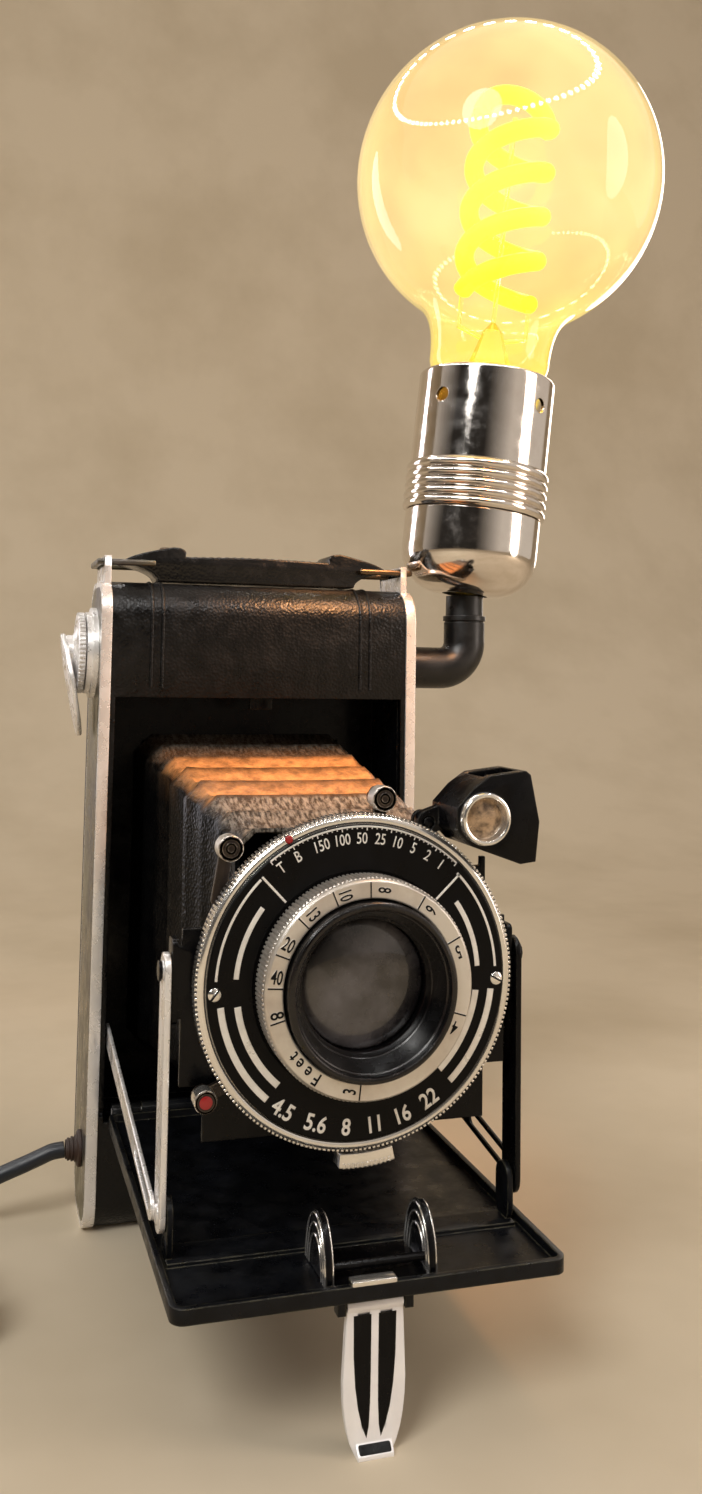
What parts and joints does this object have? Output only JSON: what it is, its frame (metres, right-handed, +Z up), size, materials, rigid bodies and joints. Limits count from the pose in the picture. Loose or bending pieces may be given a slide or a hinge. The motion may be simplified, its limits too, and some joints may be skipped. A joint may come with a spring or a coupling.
{
  "type": "folding camera table lamp",
  "caption": "Upright folding camera turned into a table lamp: bellows, shutter and finder on a drop bed, a foot, and an amber bulb in a chrome holder on a side arm.",
  "frame": {"origin": "middle of the flat on the body's lower end, on the table", "axes": "+X across the body towards the bulb, -Y towards the viewer along the lens axis, +Z up"},
  "size_m": [0.2691, 0.1781, 0.3283],
  "materials": {
    "body_leather": "fine-grained black leather with embossed double lines",
    "plate_nickel": "nickel plate with light wear",
    "black_enamel": "gloss black enamel worn at the edges",
    "bellows_leather": "black pleats with brown panels, cracked at the folds",
    "chrome": "bright polished chrome",
    "red_glass": "dark red celluloid",
    "strap_leather": "thick smooth black leather",
    "shutter_chrome": "satin chrome, serrated edge",
    "dial_black": "black dial with silver numbers and arcs",
    "distance_silver": "matte silver ring with black numbers",
    "bezel_black": "satin black",
    "lens_glass": "clear coated glass",
    "timer_red": "chrome rim round a red button",
    "finder_glass": "clear glass over a mirror",
    "lamp_chrome": "polished chrome warmed by the bulb",
    "ceramic": "glazed white insulator",
    "brass": "plain brass",
    "bulb_glass": "clear amber-tinted glass",
    "stem_glass": "clear glass",
    "filament_glow": "glowing filament",
    "arm_black": "matte black tube",
    "cord_rubber": "dark blue-black rubber",
    "gland_brown": "dark brown rubber sleeve"
  },
  "bodies": {
    "camera": {"body_shell": "body_leather", "side_plate_left": "plate_nickel", "side_plate_right": "plate_nickel", "film_gate": "black_enamel", "bellows": "bellows_leather", "bed_hinge_pin": "chrome", "strap": "strap_leather", "strap_ring_left": "plate_nickel", "strap_ring_right": "plate_nickel", "arm_tube": "arm_black", "arm_nut": "brass", "inner_lead": "cord_rubber", "cord_gland": "gland_brown", "cord_lead": "cord_rubber", "cord_coil": "cord_rubber", "plug_body": "cord_rubber", "plug_pin_left": "brass", "plug_pin_right": "brass", "holder_cap": "lamp_chrome", "holder_ring": "lamp_chrome", "holder_sleeve": "lamp_chrome", "holder_insulator": "ceramic", "screw_shell": "brass", "centre_contact": "brass"},
    "door": {"back_door": "body_leather", "pressure_plate": "black_enamel", "red_window": "red_glass"},
    "cover": {"window_cover": "plate_nickel"},
    "door_catch": {"back_catch": "plate_nickel"},
    "front_catch": {"bed_catch": "chrome"},
    "bed": {"bed": "black_enamel", "bed_guide": "black_enamel"},
    "foot": {"foot": "chrome"},
    "leg_left": {"leg_left": "chrome"},
    "leg_right": {"leg_right": "black_enamel"},
    "strut_left": {"strut_left": "chrome"},
    "strut_right": {"strut_right": "chrome"},
    "standard": {"front_standard": "black_enamel", "shutter_housing": "shutter_chrome", "face_plate": "dial_black", "lens_bezel": "bezel_black", "front_glass": "lens_glass", "shutter_blades": "black_enamel", "rear_cell": "bezel_black", "finder_bracket": "black_enamel"},
    "speed_ring": {"speed_ring": "shutter_chrome"},
    "focus_ring": {"focus_ring": "distance_silver"},
    "cocking_lever": {"cocking_lever": "chrome"},
    "release_lever": {"release_lever": "chrome"},
    "timer_lever": {"timer_lever": "timer_red"},
    "aperture_lever": {"aperture_lever": "shutter_chrome"},
    "finder": {"finder_body": "black_enamel", "finder_window": "chrome", "finder_top_glass": "finder_glass"},
    "key": {"winding_key": "plate_nickel"},
    "bulb": {"bulb_glass": "bulb_glass", "bulb_stem": "stem_glass", "filament": "filament_glow", "bulb_cap": "chrome", "bulb_contact": "black_enamel"}
  },
  "joints": [
    {"name": "bed_fold", "type": "hinge", "parent": "camera", "child": "bed", "pos_m": [0, -0.0155, 0.03], "axis": [-1, 0, 0], "range_deg": [0, 90], "deforming": ["bellows"]},
    {"name": "leg_left_swing", "type": "hinge", "parent": "bed", "child": "leg_left", "pos_m": [0, -0.0925, 0.037], "axis": [-1, 0, 0], "range_deg": [0, 72]},
    {"name": "leg_right_swing", "type": "hinge", "parent": "bed", "child": "leg_right", "pos_m": [0, -0.0925, 0.037], "axis": [-1, 0, 0], "range_deg": [0, 72]},
    {"name": "standard_swing", "type": "hinge", "parent": "leg_left", "child": "standard", "pos_m": [0, -0.0925, 0.082], "axis": [-1, 0, 0], "range_deg": [-162, 0]},
    {"name": "strut_left_swing", "type": "hinge", "parent": "camera", "child": "strut_left", "pos_m": [0, -0.0115, 0.048], "axis": [-1, 0, 0], "range_deg": [0, 101.2]},
    {"name": "strut_right_swing", "type": "hinge", "parent": "camera", "child": "strut_right", "pos_m": [0, -0.0115, 0.048], "axis": [-1, 0, 0], "range_deg": [0, 101.2]},
    {"name": "foot_fold", "type": "hinge", "parent": "bed", "child": "foot", "pos_m": [0, -0.1125, 0.0258], "axis": [1, 0, 0], "range_deg": [0, 90]},
    {"name": "door_open", "type": "hinge", "parent": "camera", "child": "door", "pos_m": [0, 0.014, 0.0036], "axis": [-1, 0, 0], "range_deg": [0, 88]},
    {"name": "window_cover_slide", "type": "slide", "parent": "door", "child": "cover", "axis": [0, 0, 1], "range_m": [0, 0.013]},
    {"name": "back_catch_slide", "type": "slide", "parent": "door", "child": "door_catch", "axis": [0, 0, -1], "range_m": [0, 0.003], "stiffness_N_per_m": 300, "springref_m": -0.002},
    {"name": "bed_catch_slide", "type": "slide", "parent": "camera", "child": "front_catch", "axis": [0, 0, 1], "range_m": [0, 0.0015], "stiffness_N_per_m": 300, "springref_m": -0.001},
    {"name": "winding_key_turn", "type": "hinge", "parent": "camera", "child": "key", "pos_m": [-0.046, -0.0005, 0.1434], "axis": [1, 0, 0], "continuous": true},
    {"name": "speed_ring_turn", "type": "hinge", "parent": "standard", "child": "speed_ring", "pos_m": [0, -0.0925, 0.08], "axis": [0, -1, 0], "range_deg": [-62, 8]},
    {"name": "focus_ring_turn", "type": "hinge", "parent": "standard", "child": "focus_ring", "pos_m": [0, -0.0925, 0.08], "axis": [0, -1, 0], "range_deg": [-287, 0]},
    {"name": "cocking_lever_turn", "type": "hinge", "parent": "standard", "child": "cocking_lever", "pos_m": [0, -0.0925, 0.08], "axis": [0, -1, 0], "range_deg": [-30, 0], "stiffness_Nm_per_rad": 0.01, "springref_deg": 5.73},
    {"name": "release_lever_turn", "type": "hinge", "parent": "standard", "child": "release_lever", "pos_m": [0, -0.0925, 0.08], "axis": [0, -1, 0], "range_deg": [0, 12], "stiffness_Nm_per_rad": 0.01, "springref_deg": -5.73},
    {"name": "timer_lever_turn", "type": "hinge", "parent": "standard", "child": "timer_lever", "pos_m": [0, -0.0925, 0.08], "axis": [0, -1, 0], "range_deg": [0, 25], "stiffness_Nm_per_rad": 0.01, "springref_deg": -5.73},
    {"name": "aperture_lever_turn", "type": "hinge", "parent": "standard", "child": "aperture_lever", "pos_m": [0, -0.0925, 0.08], "axis": [0, -1, 0], "range_deg": [-15, 15]},
    {"name": "finder_turn", "type": "hinge", "parent": "standard", "child": "finder", "pos_m": [0.0155, -0.0925, 0.1095], "axis": [0, -1, 0], "range_deg": [0, 90]},
    {"name": "bulb_lift", "type": "slide", "parent": "camera", "child": "bulb", "axis": [0.1048, 0, 0.9945], "range_m": [0, 0.032]}
  ],
  "couplings": [
    {"joint": "leg_left_swing", "follows": "bed_fold", "ratio": 0.8},
    {"joint": "leg_right_swing", "follows": "bed_fold", "ratio": 0.8},
    {"joint": "standard_swing", "follows": "bed_fold", "ratio": -1.8},
    {"joint": "strut_left_swing", "follows": "bed_fold", "ratio": 1.1244},
    {"joint": "strut_right_swing", "follows": "bed_fold", "ratio": 1.1244}
  ]
}
